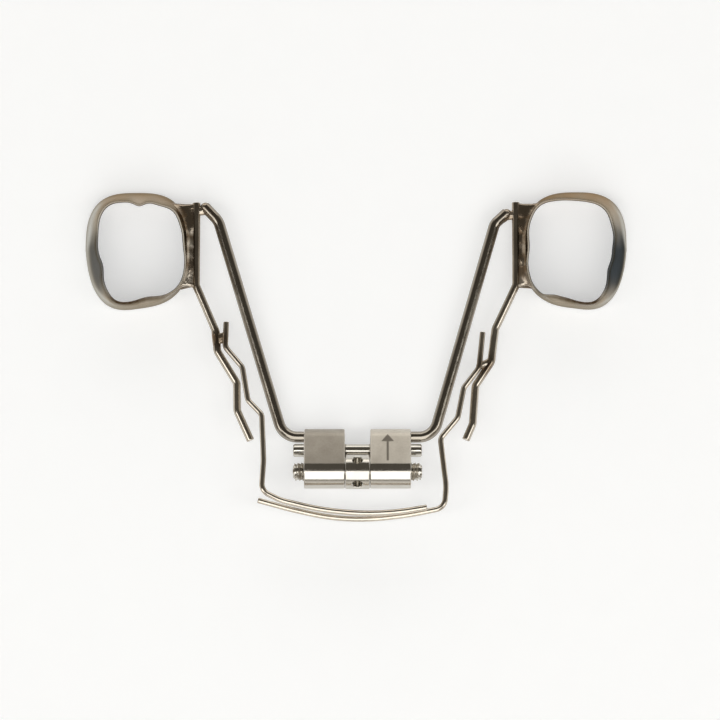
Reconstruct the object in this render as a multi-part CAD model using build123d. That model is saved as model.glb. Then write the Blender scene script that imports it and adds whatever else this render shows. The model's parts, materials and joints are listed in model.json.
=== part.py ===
# Fixed banded expander: a small double-threaded screw, two molar bands and the wires that join them.
# Millimetres. The origin is the middle of the spindle. +X is along the spindle, +Y runs back
# towards the bands and +Z points up, from the bands' lower edges to their upper ones.
from build123d import *
import math
import os

# Screw: two flat-sided housings on one threaded spindle and one guide pin.
screw_tilt = 25.0        # degrees that the screw leans back about its spindle
barrel_r = 1.8           # half-round front and back edges of a housing
barrel_spacing = 3.3     # between the centres of those two edges
housing_length = 4.35    # along the spindle
housing_chamfer = 0.12
rod_length = 13.7        # spindle and guide pin, tip to tip
rod_chamfer = 0.18

# Spindle: threaded both ways from a round knob with two crossed key holes.
thread_d = 2.0           # over the crests of the fine thread
thread_clearance = 0.03  # radial, between the crests and the housing
knob_r = 1.86
knob_width = 2.6
knob_chamfer = 0.12
knob_play = 0.03         # between the knob and each closed housing
key_hole_d = 1.0
key_hole_lean = 35.0     # degrees that the first key hole leans back from upright

# Guide pin, measured from the spindle along and across the plate.
pin_d = 1.4
pin_back = 2.6
pin_up = 0.15
pin_clearance = 0.03

# Heavy arms between housings and bands.
arm_d = 1.2
arm_back = 4.2
arm_up = 0.35
socket_depth = 2.6
socket_clearance = 0.01

# Thinner wires.
support_d = 0.86
arch_d = 0.62
bend_r = 1.0             # sharp bends of the stepped wires, on the centre line
corner_r = 1.2           # where an arch wire turns to the front
sweep_r = 28.0           # the long curve across the front
band_gap = 0.5           # between a band and its support wire, filled with solder
strip_back = 5.7         # the support wire ends this far behind the band's middle
strip_front = 3.3        # and leaves the band this far in front of it
arch_lift = 0.4          # arch wires start this much above the support wires
front_run_z = 0.0        # height of the lower of the two runs across the front
run_gap = 0.18           # between those two runs, which slide past each other

# Molar bands: rounded-square rings, wider low down on the cheek side and at the back.
band_height = 4.4
band_wall = 0.2
band_half_width = 4.85   # outside, along X, at the upper edge
band_half_length = 5.6   # outside, along Y, at the upper edge
band_roundness = 2.9     # 2 is an ellipse, more is squarer
cheek_flare = 1.3        # growth towards the cheek at the widest level
back_flare = 1.4         # growth towards the back at the widest level
flare_level = 1.3        # height of the widest level above the lower edge
edge_crimp = 0.15        # the lower edge turns in again by this much
cheek_taper = 0.14       # the cheek side narrows towards the front
front_slant = 0.10       # the front edge runs forward towards the cheek
scallop_depth = 0.5      # arch cut into the lower edge at front and back
scallop_r = 7.0
left_band_centre = (-23.05, 23.6)
right_band_centre = (22.75, 23.65)

# Solder.
band_solder_height = 1.5
solder_run = 0.6         # the fillet runs on past the bend of the support wire
arm_solder_r = 0.85
wire_solder_r = 0.72

# What follows from those sizes.
tilt = math.radians(screw_tilt)
housing_start = knob_width / 2 + knob_play
housing_end = housing_start + housing_length
floor_z = -barrel_spacing * math.sin(tilt) - barrel_r
screw_plane = Plane(origin=(0, 0, 0), x_dir=(0, math.cos(tilt), -math.sin(tilt)), z_dir=(1, 0, 0))


def in_screw(back, up):
    """Y and Z of a point given along and across the leaning plate."""
    return (back * math.cos(tilt) + up * math.sin(tilt), -back * math.sin(tilt) + up * math.cos(tilt))


arm_y, arm_z = in_screw(arm_back, arm_up)
socket_end = housing_end - socket_depth
support_z = floor_z + band_height / 2
arch_start_z = support_z + arch_lift
upper_run_z = front_run_z + arch_d + run_gap
support_offset = band_half_width + band_gap + support_d / 2
left_strip_x = left_band_centre[0] + support_offset
left_strip_y = left_band_centre[1]
right_strip_x = right_band_centre[0] - support_offset
right_strip_y = right_band_centre[1]


def rising(plan, corner, run_z):
    """Adds heights to an arch wire's plan: level at first, an even climb to the corner, then level."""
    route = []
    for i, (x, y, r) in enumerate(plan):
        climb = min(max((i - 1) / (corner - 1), 0), 1)
        route.append((x, y, arch_start_z + climb * (run_z - arch_start_z), r))
    return route


# Wire routes: X, Y, Z and the bend radius at that point.
left_arm_route = [
    (-socket_end, arm_y, arm_z, 0),
    (-7.9, arm_y, arm_z, 2.0),
    (left_strip_x + 2.37, left_strip_y + 3.7, support_z, 2.2),
    (left_strip_x + 0.87, left_strip_y + 5.3, support_z, 0),
]
right_arm_route = [
    (socket_end, arm_y, arm_z, 0),
    (8.05, arm_y, arm_z, 2.0),
    (right_strip_x - 2.27, right_strip_y + 3.35, support_z, 1.4),
    (right_strip_x - 0.97, right_strip_y + 4.55, support_z, 0),
]
left_support_route = [
    (left_strip_x, left_strip_y + strip_back, support_z, 0),
    (left_strip_x, left_strip_y - strip_front, support_z, bend_r),
    (-15.1, 15.25, support_z, bend_r),
    (-14.95, 13.15, support_z, bend_r),
    (-12.85, 9.7, support_z, bend_r),
    (-12.8, 6.7, support_z, bend_r),
    (-11.35, 3.5, support_z, 0),
]
right_support_route = [
    (right_strip_x, right_strip_y + strip_back, support_z, 0),
    (right_strip_x, right_strip_y - strip_front, support_z, bend_r),
    (14.7, 15.55, support_z, bend_r),
    (14.25, 12.0, support_z, bend_r),
    (12.55, 9.4, support_z, bend_r),
    (12.25, 5.3, support_z, bend_r),
    (11.5, 3.55, support_z, 0),
]
left_arch_route = rising([
    (-14.0, 16.25, 0),
    (-14.1, 13.55, bend_r),
    (-12.25, 11.3, bend_r),
    (-11.65, 7.7, bend_r),
    (-10.15, 6.1, bend_r),
    (-9.95, 1.15, 6.0),
    (-10.15, -2.15, corner_r),
    (-8.1, -3.16, 6.0),
    (-4.0, -4.16, sweep_r),
    (0.0, -4.55, sweep_r),
    (3.8, -4.5, sweep_r),
    (7.35, -3.9, 0),
], corner=6, run_z=upper_run_z)
right_arch_route = rising([
    (13.35, 15.15, 0),
    (12.95, 11.3, bend_r),
    (11.3, 9.1, bend_r),
    (10.65, 5.85, bend_r),
    (8.8, 3.6, bend_r),
    (9.4, -1.55, 6.0),
    (9.2, -3.85, corner_r),
    (5.5, -4.6, sweep_r),
    (1.3, -5.1, sweep_r),
    (-2.9, -4.95, sweep_r),
    (-7.1, -4.0, sweep_r),
    (-10.55, -3.05, 0),
], corner=6, run_z=front_run_z)


def bent_path(route):
    """Straight legs joined by arcs, tangent at every bend."""
    corners = [Vector(x, y, z) for x, y, z, r in route]
    edges = []
    start = corners[0]
    for i in range(1, len(route) - 1):
        before = (corners[i] - corners[i - 1]).normalized()
        after = (corners[i + 1] - corners[i]).normalized()
        half_turn = math.radians(before.get_angle(after)) / 2
        shortest = min((corners[i] - corners[i - 1]).length, (corners[i + 1] - corners[i]).length)
        reach = min(route[i][3] * math.tan(half_turn), 0.48 * shortest)
        radius = reach / math.tan(half_turn)
        inward = (after - before).normalized()
        arc_start = corners[i] - before * reach
        arc_end = corners[i] + after * reach
        arc_middle = corners[i] + inward * (radius / math.cos(half_turn) - radius)
        edges.append(Line(start, arc_start))
        edges.append(ThreePointArc(arc_start, arc_middle, arc_end))
        start = arc_end
    edges.append(Line(start, corners[-1]))
    return Wire(edges)


def bent_wire(route, diameter):
    """Round wire along a route."""
    path = bent_path(route)
    profile = Plane(origin=path @ 0, z_dir=path % 0) * Circle(diameter / 2)
    return sweep(profile, path=path)


def rod(diameter, length, back=0.0, up=0.0):
    """Round bar along the spindle, centred on the midline, with chamfered tips."""
    y, z = in_screw(back, up)
    bar = Pos(0, y, z) * Rot(0, 90, 0) * Cylinder(diameter / 2, length)
    return chamfer(bar.edges(), rod_chamfer)


def make_housing(side):
    """One half of the screw; side is -1 on the left and 1 on the right."""
    section = screw_plane * (
        Circle(barrel_r)
        + Pos(barrel_spacing, 0) * Circle(barrel_r)
        + Pos(barrel_spacing / 2, 0) * Rectangle(barrel_spacing, 2 * barrel_r)
    )
    block = Pos(housing_start, 0, 0) * extrude(section, amount=housing_length)
    ends = block.faces().filter_by(Axis.X)
    block = chamfer(ends.edges(), housing_chamfer)
    spindle_bore = Rot(0, 90, 0) * Cylinder(thread_d / 2 + thread_clearance, rod_length)
    pin_y, pin_z = in_screw(pin_back, pin_up)
    pin_bore = Pos(0, pin_y, pin_z) * Rot(0, 90, 0) * Cylinder(pin_d / 2 + pin_clearance, rod_length)
    socket_middle = housing_end - socket_depth / 2
    socket = Rot(0, 90, 0) * Cylinder(arm_d / 2 + socket_clearance, socket_depth)
    block = block - spindle_bore - pin_bore - Pos(socket_middle, arm_y, arm_z) * socket
    return block if side > 0 else mirror(block, about=Plane.YZ)


def make_spindle():
    """Threaded bar with a knob in the middle and two key holes crossing in it."""
    knob = Rot(0, 90, 0) * Cylinder(knob_r, knob_width)
    knob = chamfer(knob.edges(), knob_chamfer)
    spindle = rod(thread_d, rod_length) + knob
    for lean in (key_hole_lean, key_hole_lean - 90):
        spindle -= Rot(-lean, 0, 0) * Cylinder(key_hole_d / 2, 3 * knob_r)
    return spindle


def band_outline(level, side, centre, inset):
    """Closed outline of a band at a height above the lower edge; inset runs inward from the outside."""
    if level < flare_level:
        flare = 1 - edge_crimp * (1 - level / flare_level)
    else:
        flare = 0.5 + 0.5 * math.cos(math.pi * (level - flare_level) / (band_height - flare_level))
    half_width = band_half_width + cheek_flare * flare / 2 - inset
    half_length = band_half_length + back_flare * flare / 2 - inset
    points = []
    for i in range(28):
        angle = 2 * math.pi * i / 28
        c = math.cos(angle)
        s = math.sin(angle)
        across = math.copysign(abs(c) ** (2 / band_roundness), c)
        along = math.copysign(abs(s) ** (2 / band_roundness), s)
        narrowing = cheek_taper * along * (1 if along < 0 else 1 - flare)
        x = half_width * across * (1 + narrowing * (across > 0))
        y = half_length * along * (1 + front_slant * across * (along < 0))
        points.append((
            centre[0] + side * (x + cheek_flare * flare / 2),
            centre[1] + y + back_flare * flare / 2,
            floor_z + level,
        ))
    return make_face(Spline(*points, periodic=True))


def band_solid(side, centre, inset, below=0.0):
    """Filled band shape; below lengthens it past both edges so that it can be used as a cutter."""
    levels = [0, flare_level, (flare_level + band_height) / 2, band_height]
    body = loft([band_outline(level, side, centre, inset) for level in levels])
    if below:
        body += extrude(band_outline(0, side, centre, inset), amount=below, dir=(0, 0, -1))
        body += extrude(band_outline(band_height, side, centre, inset), amount=below, dir=(0, 0, 1))
    return body


def make_band(side, centre):
    """Thin ring with arched lower edges at front and back."""
    ring = band_solid(side, centre, 0) - band_solid(side, centre, band_wall, below=1.0)
    for y in (centre[1] - band_half_length, centre[1] + band_half_length + back_flare):
        arch = Rot(0, 90, 0) * Cylinder(scallop_r, 4 * band_half_width)
        ring -= Pos(centre[0], y, floor_z + scallop_depth - scallop_r) * arch
    return ring


def make_band_solder(side, centre, route, wire):
    """Solder that fills the room between a straight support wire and the curved band."""
    back = route[0]
    front = route[1]
    middle_x = (back[0] + front[0]) / 2
    depth = abs(centre[0] - middle_x) / 2
    front_y = front[1] - solder_run
    slab = Pos(middle_x + side * depth / 2, (back[1] + front_y) / 2, support_z)
    slab = slab * Box(depth, back[1] - front_y, band_solder_height)
    return slab - band_solid(side, centre, 0) - wire


def make_blob(place, radius, wires):
    """Drop of solder around two wires that nearly touch, its poles turned along X."""
    blob = Pos(*place) * Rot(0, 90, 0) * Sphere(radius)
    for wire in wires:
        blob -= wire
    return blob


def make_half(side, centre, arm_route, support_route, arch_route, arm_joint, wire_joint):
    """Everything that is soldered together on one side."""
    arm = bent_wire(arm_route, arm_d)
    support = bent_wire(support_route, support_d)
    arch = bent_wire(arch_route, arch_d)
    return {
        "housing": make_housing(side),
        "arm": arm,
        "molar_band": make_band(side, centre),
        "support_wire": support,
        "arch_wire": arch,
        "band_solder": make_band_solder(side, centre, support_route, support),
        "arm_solder": make_blob(arm_joint, arm_solder_r, (arm, support)),
        "wire_solder": make_blob(wire_joint, wire_solder_r, (arch, support)),
    }


def between(route, i, other, j):
    """Point halfway between two route points."""
    return tuple((route[i][k] + other[j][k]) / 2 for k in range(3))


def arm_seat(arm_route, strip_x):
    """Point between the end of an arm and the support wire beside it."""
    x, y, z, r = arm_route[-1]
    return (x + 0.2 * (strip_x - x), y, z)


left = make_half(
    -1, left_band_centre, left_arm_route, left_support_route, left_arch_route,
    arm_joint=arm_seat(left_arm_route, left_strip_x),
    wire_joint=between(left_arch_route, 1, left_support_route, 2),
)
right = make_half(
    1, right_band_centre, right_arm_route, right_support_route, right_arch_route,
    arm_joint=arm_seat(right_arm_route, right_strip_x),
    wire_joint=between(right_arch_route, 1, right_support_route, 3),
)
parts = {"spindle": make_spindle(), "guide_pin": rod(pin_d, rod_length, pin_back, pin_up)}
parts.update({"left_" + name: solid for name, solid in left.items()})
parts.update({"right_" + name: solid for name, solid in right.items()})

os.makedirs("parts", exist_ok=True)
for name, solid in parts.items():
    export_step(solid, "parts/" + name + ".step")
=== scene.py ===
import json
from math import copysign, cos, exp, log, pi, radians, sin, sqrt
import bmesh
import bpy
from mathutils import Matrix, Vector, noise

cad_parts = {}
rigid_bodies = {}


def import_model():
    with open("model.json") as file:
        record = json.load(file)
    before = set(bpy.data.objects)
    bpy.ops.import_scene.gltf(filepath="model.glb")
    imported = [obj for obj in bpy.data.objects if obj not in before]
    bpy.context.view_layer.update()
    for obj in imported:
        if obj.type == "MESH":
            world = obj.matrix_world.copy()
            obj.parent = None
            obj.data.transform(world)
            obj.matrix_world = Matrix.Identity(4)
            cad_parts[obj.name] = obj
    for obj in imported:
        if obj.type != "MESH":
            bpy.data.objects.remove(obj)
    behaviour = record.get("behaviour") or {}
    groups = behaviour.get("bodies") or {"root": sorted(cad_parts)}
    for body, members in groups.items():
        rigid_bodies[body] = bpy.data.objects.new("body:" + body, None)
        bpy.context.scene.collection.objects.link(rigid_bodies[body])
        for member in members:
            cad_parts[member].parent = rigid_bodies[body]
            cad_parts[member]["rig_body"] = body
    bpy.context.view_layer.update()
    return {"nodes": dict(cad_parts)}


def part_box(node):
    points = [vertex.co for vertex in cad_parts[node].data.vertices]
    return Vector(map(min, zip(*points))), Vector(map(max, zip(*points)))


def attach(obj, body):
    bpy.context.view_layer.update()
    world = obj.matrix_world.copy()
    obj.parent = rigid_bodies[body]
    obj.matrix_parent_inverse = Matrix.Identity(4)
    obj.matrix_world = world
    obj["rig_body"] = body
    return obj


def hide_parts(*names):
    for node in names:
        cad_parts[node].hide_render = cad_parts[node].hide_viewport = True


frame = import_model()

scene = bpy.context.scene
mm = 0.001
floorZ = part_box("left_molar_band")[0].z / mm  # the bands and the screw stand on this height, in mm
print("frame loaded,", len(frame["nodes"]), "nodes")


def linear(hexColour):  # sRGB hex to the linear colour that shaders take
    parts = [int(hexColour[i:i + 2], 16) / 255 for i in (1, 3, 5)]
    return [c / 12.92 if c <= 0.04045 else ((c + 0.055) / 1.055) ** 2.4 for c in parts] + [1.0]


def perMm(size):  # texture scale for a pattern whose features are this many mm across
    return 1 / (size * mm)


def addNode(tree, kind, inputs={}, **settings):
    node = tree.nodes.new(kind)
    for name, value in settings.items():
        setattr(node, name, value)
    for key, value in inputs.items():
        if isinstance(value, bpy.types.NodeSocket):
            tree.links.new(value, node.inputs[key])
        else:
            node.inputs[key].default_value = value
    return node


def newObject(name, mesh):
    piece = bpy.data.objects.new(name, mesh)
    scene.collection.objects.link(piece)
    return piece


def bake(piece):  # keeps what the modifiers give as a plain mesh
    bpy.context.view_layer.update()
    graph = bpy.context.evaluated_depsgraph_get()
    mesh = bpy.data.meshes.new_from_object(piece.evaluated_get(graph))
    piece.modifiers.clear()
    piece.data = mesh


def skin(name, rings, loop=False):  # quads between rings of points in mm; open ends are capped
    build = bmesh.new()
    rows = [[build.verts.new(Vector(p) * mm) for p in ring] for ring in rings]
    count = len(rows[0])
    following = rows[1:] + rows[:1] if loop else rows[1:]
    for a, b in zip(rows, following):
        for i in range(count):
            j = (i + 1) % count
            build.faces.new((a[i], a[j], b[j], b[i]))
    if not loop:
        build.faces.new(rows[0])
        build.faces.new(rows[-1])
    bmesh.ops.recalc_face_normals(build, faces=build.faces)
    mesh = bpy.data.meshes.new(name)
    build.to_mesh(mesh)
    build.free()
    return newObject(name, mesh)


def turned(name, profile, centre=(0, 0), sides=96):  # lathe work along X: profile is (x, radius)
    turns = [2 * pi * i / sides for i in range(sides)]
    return skin(name, [[(x, centre[0] + r * cos(t), centre[1] + r * sin(t)) for t in turns]
                       for x, r in profile])


def cut(piece, cutters):
    for cutter in cutters:
        tool = piece.modifiers.new("cut", "BOOLEAN")
        tool.operation = "DIFFERENCE"
        tool.solver = "EXACT"
        tool.object = cutter
    bake(piece)
    for cutter in cutters:
        bpy.data.objects.remove(cutter)


def paint(piece, *finishes):  # these finishes and no others
    piece.data.materials.clear()
    for finish in finishes:
        piece.data.materials.append(finish)


def smooth(piece, sharp):  # smooth shading, apart from edges sharper than this many degrees
    piece.data.shade_smooth()
    piece.data.set_sharp_from_angle(angle=radians(sharp))


def dress(piece, node, sharp=32):  # onto its body, in place of the CAD node
    smooth(piece, sharp)
    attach(piece, frame["nodes"][node]["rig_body"])
    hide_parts(node)


def mark(piece, name, values):  # one number per point, for the material to read
    piece.data.attributes.new(name, "FLOAT", "POINT").data.foreach_set("value", values)


def spotted(piece, spots):  # how strongly spots (place, reach, strength) in mm colour each point
    return [max(strength * exp(-((v.co / mm - Vector(at)).length / reach) ** 2) for at, reach, strength in spots)
            for v in piece.data.vertices]


def ramp(value, start, end):  # eased 0 to 1 from start to end
    t = max(0.0, min(1.0, (value - start) / (end - start)))
    return t * t * (3 - 2 * t)


def newMaterial(name):  # an empty material, its tree and the place on the piece
    material = bpy.data.materials.new(name)
    material.use_nodes = True
    material.node_tree.nodes.clear()
    place = addNode(material.node_tree, "ShaderNodeTexCoord").outputs["Object"]
    return material, material.node_tree, place


def stained(tree, tone, attribute, colour):  # colour over a tone, as strongly as the attribute says
    strength = addNode(tree, "ShaderNodeAttribute", attribute_name=attribute)
    return addNode(tree, "ShaderNodeMix", {0: strength.outputs["Fac"], 6: tone.outputs[2], 7: linear(colour)},
                   data_type="RGBA")


def endMetal(tree, look, tone, pattern, bump, span=(0.3, 0.7)):  # every metal's end; pattern sets how rough
    rough = addNode(tree, "ShaderNodeMapRange", {0: pattern.outputs["Fac"], 1: span[0], 2: span[1],
                                                 3: look["roughness"][0], 4: look["roughness"][1]})
    shader = addNode(tree, "ShaderNodeBsdfPrincipled", {
        "Metallic": 1.0, "Base Color": tone.outputs[2], "Roughness": rough.outputs[0], "Normal": bump.outputs[0],
        "Specular Tint": linear(look.get("grazing", "#FFFFFF"))})
    addNode(tree, "ShaderNodeOutputMaterial", {"Surface": shader.outputs[0]})


# drawn stainless wire, polished by hand: a dark mirror with faint streaks along it,
# straw to brown where it was soldered
def drawnWire(name, look):
    material, tree, place = newMaterial(name)
    along = addNode(tree, "ShaderNodeAttribute", attribute_name="alongWire")
    around = addNode(tree, "ShaderNodeAttribute", attribute_name="aroundWire")
    runs = addNode(tree, "ShaderNodeMath", {0: along.outputs["Fac"], 1: perMm(look["lineLength"])},
                   operation="MULTIPLY")
    turns = addNode(tree, "ShaderNodeMath", {0: around.outputs["Fac"], 1: look["linesRound"]}, operation="MULTIPLY")
    onWire = addNode(tree, "ShaderNodeCombineXYZ", {0: runs.outputs[0], 1: turns.outputs[0]})
    lines = addNode(tree, "ShaderNodeTexNoise", {"Vector": onWire.outputs[0], "Scale": 1.0, "Detail": 3.0})
    handWork = addNode(tree, "ShaderNodeTexNoise", {"Vector": place, "Scale": perMm(look["handWork"]), "Detail": 2.0})
    tone = addNode(tree, "ShaderNodeMix", {0: handWork.outputs["Fac"], 6: linear(look["dark"]),
                                           7: linear(look["light"])}, data_type="RGBA")
    tone = stained(tree, tone, "scorchedAndShadowLine", look["burnt"])
    fine = addNode(tree, "ShaderNodeBump", {"Strength": 0.5, "Distance": look["lineDepth"] * mm,
                                            "Height": lines.outputs["Fac"]})
    broad = addNode(tree, "ShaderNodeBump", {"Strength": 1.0, "Distance": look["handDepth"] * mm,
                                             "Height": handWork.outputs["Fac"], "Normal": fine.outputs[0]})
    endMetal(tree, look, tone, lines, broad)
    return material


# bead-blasted stainless plate: even satin grey, fine grain, slightly cloudy;
# the grain is drawn near 0.2 mm because the real 0.05 mm would not show
def blastedPlate(name, look):
    material, tree, place = newMaterial(name)
    grain = addNode(tree, "ShaderNodeTexNoise", {"Vector": place, "Scale": perMm(look["grain"]), "Detail": 2.0})
    cloud = addNode(tree, "ShaderNodeTexNoise", {"Vector": place, "Scale": perMm(look["cloud"]), "Detail": 3.0})
    mixed = addNode(tree, "ShaderNodeMix", {0: look["grainShare"], 2: cloud.outputs["Fac"], 3: grain.outputs["Fac"]})
    spread = addNode(tree, "ShaderNodeMapRange", {0: mixed.outputs[0], 1: 0.3, 2: 0.7})
    tone = addNode(tree, "ShaderNodeMix", {0: spread.outputs[0], 6: linear(look["dark"]), 7: linear(look["light"])},
                   data_type="RGBA")
    if "etched" in look:  # laser mark: darker, with a soft edge
        tone = stained(tree, tone, "etched", look["etched"])
    bump = addNode(tree, "ShaderNodeBump", {"Strength": 0.6, "Distance": look["depth"] * mm,
                                            "Height": grain.outputs["Fac"]})
    endMetal(tree, look, tone, grain, bump)
    return material


# ground and polished stainless bar: crisp bright and dark bands, hairlines along or round the bar
def polishedBar(name, look):
    material, tree, place = newMaterial(name)
    stretched = addNode(tree, "ShaderNodeMapping", {"Vector": place, "Scale": look["stretch"]})
    hair = addNode(tree, "ShaderNodeTexNoise", {"Vector": stretched.outputs[0], "Scale": perMm(look["hairline"]),
                                                "Detail": 3.0})
    cloud = addNode(tree, "ShaderNodeTexNoise", {"Vector": place, "Scale": perMm(look["cloud"]), "Detail": 2.0})
    tone = addNode(tree, "ShaderNodeMix", {0: cloud.outputs["Fac"], 6: linear(look["dark"]), 7: linear(look["light"])},
                   data_type="RGBA")
    bump = addNode(tree, "ShaderNodeBump", {"Strength": 0.5, "Distance": look["depth"] * mm,
                                            "Height": hair.outputs["Fac"]})
    endMetal(tree, look, tone, hair, bump)
    return material


# rolled stainless strip pressed to shape: bright edge, painted shade on the walls at the cheek side and inside the
# ring, with a painted pale reflection as a margin below it, a painted highlight low on the front and a painted shadow
# line under the front edge; slightly wavy from the pusher, with fine rolling lines, straw at the back and a brown bloom
# by the solder
def rolledBand(name, look):
    material, tree, place = newMaterial(name)
    flat = addNode(tree, "ShaderNodeMapping", {"Vector": place, "Scale": look["stretch"]})
    lines = addNode(tree, "ShaderNodeTexNoise", {"Vector": flat.outputs[0], "Scale": perMm(look["rolling"]),
                                                 "Detail": 3.0})
    pushed = addNode(tree, "ShaderNodeTexNoise", {"Vector": place, "Scale": perMm(look["pushed"]), "Detail": 1.0})
    tone = addNode(tree, "ShaderNodeMix", {0: pushed.outputs["Fac"], 6: linear(look["dark"]), 7: linear(look["light"])},
                   data_type="RGBA")
    # the first is painted shade, the third a painted highlight, the fourth a painted pale reflection; straw is real,
    # and the last is real heat tint plus a painted shadow line
    for attribute in ("paintedShade", "strawTint", "paintedHighlight", "paintedPale", "scorchedAndShadowLine"):
        tone = stained(tree, tone, attribute, look[attribute])
    fine = addNode(tree, "ShaderNodeBump", {"Strength": 0.4, "Distance": look["lineDepth"] * mm,
                                            "Height": lines.outputs["Fac"]})
    broad = addNode(tree, "ShaderNodeBump", {"Strength": 1.0, "Distance": look["pushDepth"] * mm,
                                             "Height": pushed.outputs["Fac"], "Normal": fine.outputs[0]})
    endMetal(tree, look, tone, lines, broad)
    return material


# silver solder, flowed and roughly polished: warm grey with brown flux stain in the hollows, small pits, and painted
# highlight spots
def silverSolder(name, look):
    material, tree, place = newMaterial(name)
    flow = addNode(tree, "ShaderNodeTexNoise", {"Vector": place, "Scale": perMm(look["flow"]), "Detail": 2.0,
                                                "Distortion": 0.6})
    pits = addNode(tree, "ShaderNodeTexVoronoi", {"Vector": place, "Scale": perMm(look["pits"])})
    pitted = addNode(tree, "ShaderNodeMapRange", {0: pits.outputs["Distance"], 1: 0.0, 2: 0.35})
    stain = addNode(tree, "ShaderNodeMapRange", {0: flow.outputs["Fac"], 1: 0.38, 2: 0.62})
    tone = addNode(tree, "ShaderNodeMix", {0: stain.outputs[0], 6: linear(look["stain"]), 7: linear(look["light"])},
                   data_type="RGBA")
    # painted highlight spots
    tone = stained(tree, tone, "paintedGlints", look["paintedGlints"])
    small = addNode(tree, "ShaderNodeBump", {"Strength": 0.4, "Distance": look["pitDepth"] * mm,
                                             "Height": pitted.outputs[0]})
    broad = addNode(tree, "ShaderNodeBump", {"Strength": 1.0, "Distance": look["flowDepth"] * mm,
                                             "Height": flow.outputs["Fac"], "Normal": small.outputs[0]})
    endMetal(tree, look, tone, flow, broad, (0.35, 0.65))
    return material


# feature sizes and depths are in mm
wireLook = {"dark": "#B3AB9F", "light": "#D1C9BC", "burnt": "#6E5C48", "roughness": (0.10, 0.20), "lineLength": 4.0,
            "linesRound": 34.0, "lineDepth": 0.004, "handWork": 2.0, "handDepth": 0.018}
# the arm wire is painted darker and the arch wire lighter than the support wire: painted shade and painted light on
# copies of one steel
armShadedLook = dict(wireLook, dark="#918A80", light="#A9A297")
archLitLook = dict(wireLook, dark="#BDB5A9", light="#DCD3C6")
wireSteel = drawnWire("drawnStainlessWirePolished", wireLook)
armShadedSteel = drawnWire("drawnStainlessArmPaintedShade", armShadedLook)
archLitSteel = drawnWire("drawnStainlessArchWirePaintedLight", archLitLook)

# the left plate's colour is painted darker and the right plate's lighter: painted shade and painted light on two copies
# of one satin steel
leftPlateShadedLook = {"dark": "#9C958A", "light": "#B1AAA0", "roughness": (0.40, 0.50), "grain": 0.2, "grainShare": 0.35,
                 "cloud": 1.6, "depth": 0.006}
rightPlateLitLook = dict(leftPlateShadedLook, dark="#C0B9AE", light="#D6D0C5")
markLook = dict(rightPlateLitLook, etched="#7D776E")
leftPlateShaded = blastedPlate("beadBlastedStainlessLeftPaintedShade", leftPlateShadedLook)
rightPlateLit = blastedPlate("beadBlastedStainlessRightPaintedLight", rightPlateLitLook)
markSteel = blastedPlate("laserMarkedStainless", markLook)

barrelLook = {"dark": "#C3BFB7", "light": "#D3CFC8", "roughness": (0.12, 0.19), "hairline": 0.12, "cloud": 2.0,
              "stretch": (0.05, 1.0, 1.0), "depth": 0.0015}
turnedLook = {"dark": "#BFBBB3", "light": "#D2CEC6", "roughness": (0.12, 0.20), "hairline": 0.1, "cloud": 1.2,
              "stretch": (1.0, 0.05, 0.05), "depth": 0.003}
pinLook = dict(turnedLook, roughness=(0.10, 0.18), stretch=(0.05, 1.0, 1.0))
barrelSteel = polishedBar("polishedStainlessHousing", barrelLook)
turnedSteel = polishedBar("turnedStainlessSpindle", turnedLook)
pinSteel = polishedBar("groundStainlessPin", pinLook)

# the third colour is painted shade, the fifth a painted highlight, the sixth a painted pale reflection; the seventh is
# real heat tint and also a painted shadow line
bandLook = {"dark": "#A39C90", "light": "#BDB6A9", "paintedShade": "#3E4347", "strawTint": "#A9865F",
            "paintedHighlight": "#DCD0C1", "paintedPale": "#D8D9D5", "scorchedAndShadowLine": "#4A3A2A", "grazing": "#B4ADA2",
            "roughness": (0.12, 0.22), "rolling": 0.12, "stretch": (0.12, 0.12, 1.0), "pushed": 2.4,
            "lineDepth": 0.003, "pushDepth": 0.08}
bandSteel = rolledBand("rolledStainlessBandBurnished", bandLook)

# the third colour is for painted highlight spots
solderLook = {"stain": "#83705B", "light": "#A19484", "paintedGlints": "#E2DACD", "roughness": (0.34, 0.16), "flow": 1.1,
              "pits": 0.35, "pitDepth": 0.006, "flowDepth": 0.07}
solderMetal = silverSolder("silverSolderFlowed", solderLook)
print("finishes made")

# two housings on a double-threaded spindle and a guide pin: sizes in mm, back and up along and across the plate
screw = {"tilt": 25.0, "barrel": 1.8, "spacing": 3.3, "start": 1.33, "length": 4.35, "edge": 0.12, "tips": 6.85,
         "thread": 1.0, "boreGap": 0.03, "boreStart": 0.5, "boreRim": 0.12, "pin": 0.7, "pinBack": 2.6, "pinUp": 0.15,
         "pinTip": 0.18, "arm": 0.6, "armGap": 0.01, "armBack": 4.2, "armUp": 0.35, "socket": 2.6, "satinFrom": -0.12}
lean = radians(screw["tilt"])


def inScrew(back, up):  # Y and Z of a point along and across the leaning plate
    return back * cos(lean) + up * sin(lean), -back * sin(lean) + up * cos(lean)


pinAt = inScrew(screw["pinBack"], screw["pinUp"])
armAt = inScrew(screw["armBack"], screw["armUp"])


def plateSection(inset, steps=40):  # housing outline, clockwise from the front of the top flat
    r = screw["barrel"] - inset
    turns = [pi * i / steps for i in range(steps + 1)]
    section = [(screw["spacing"] + r * sin(turn), r * cos(turn)) for turn in turns]
    section += [(-r * sin(turn), -r * cos(turn)) for turn in turns]
    return [inScrew(back, up) for back, up in section]


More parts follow.
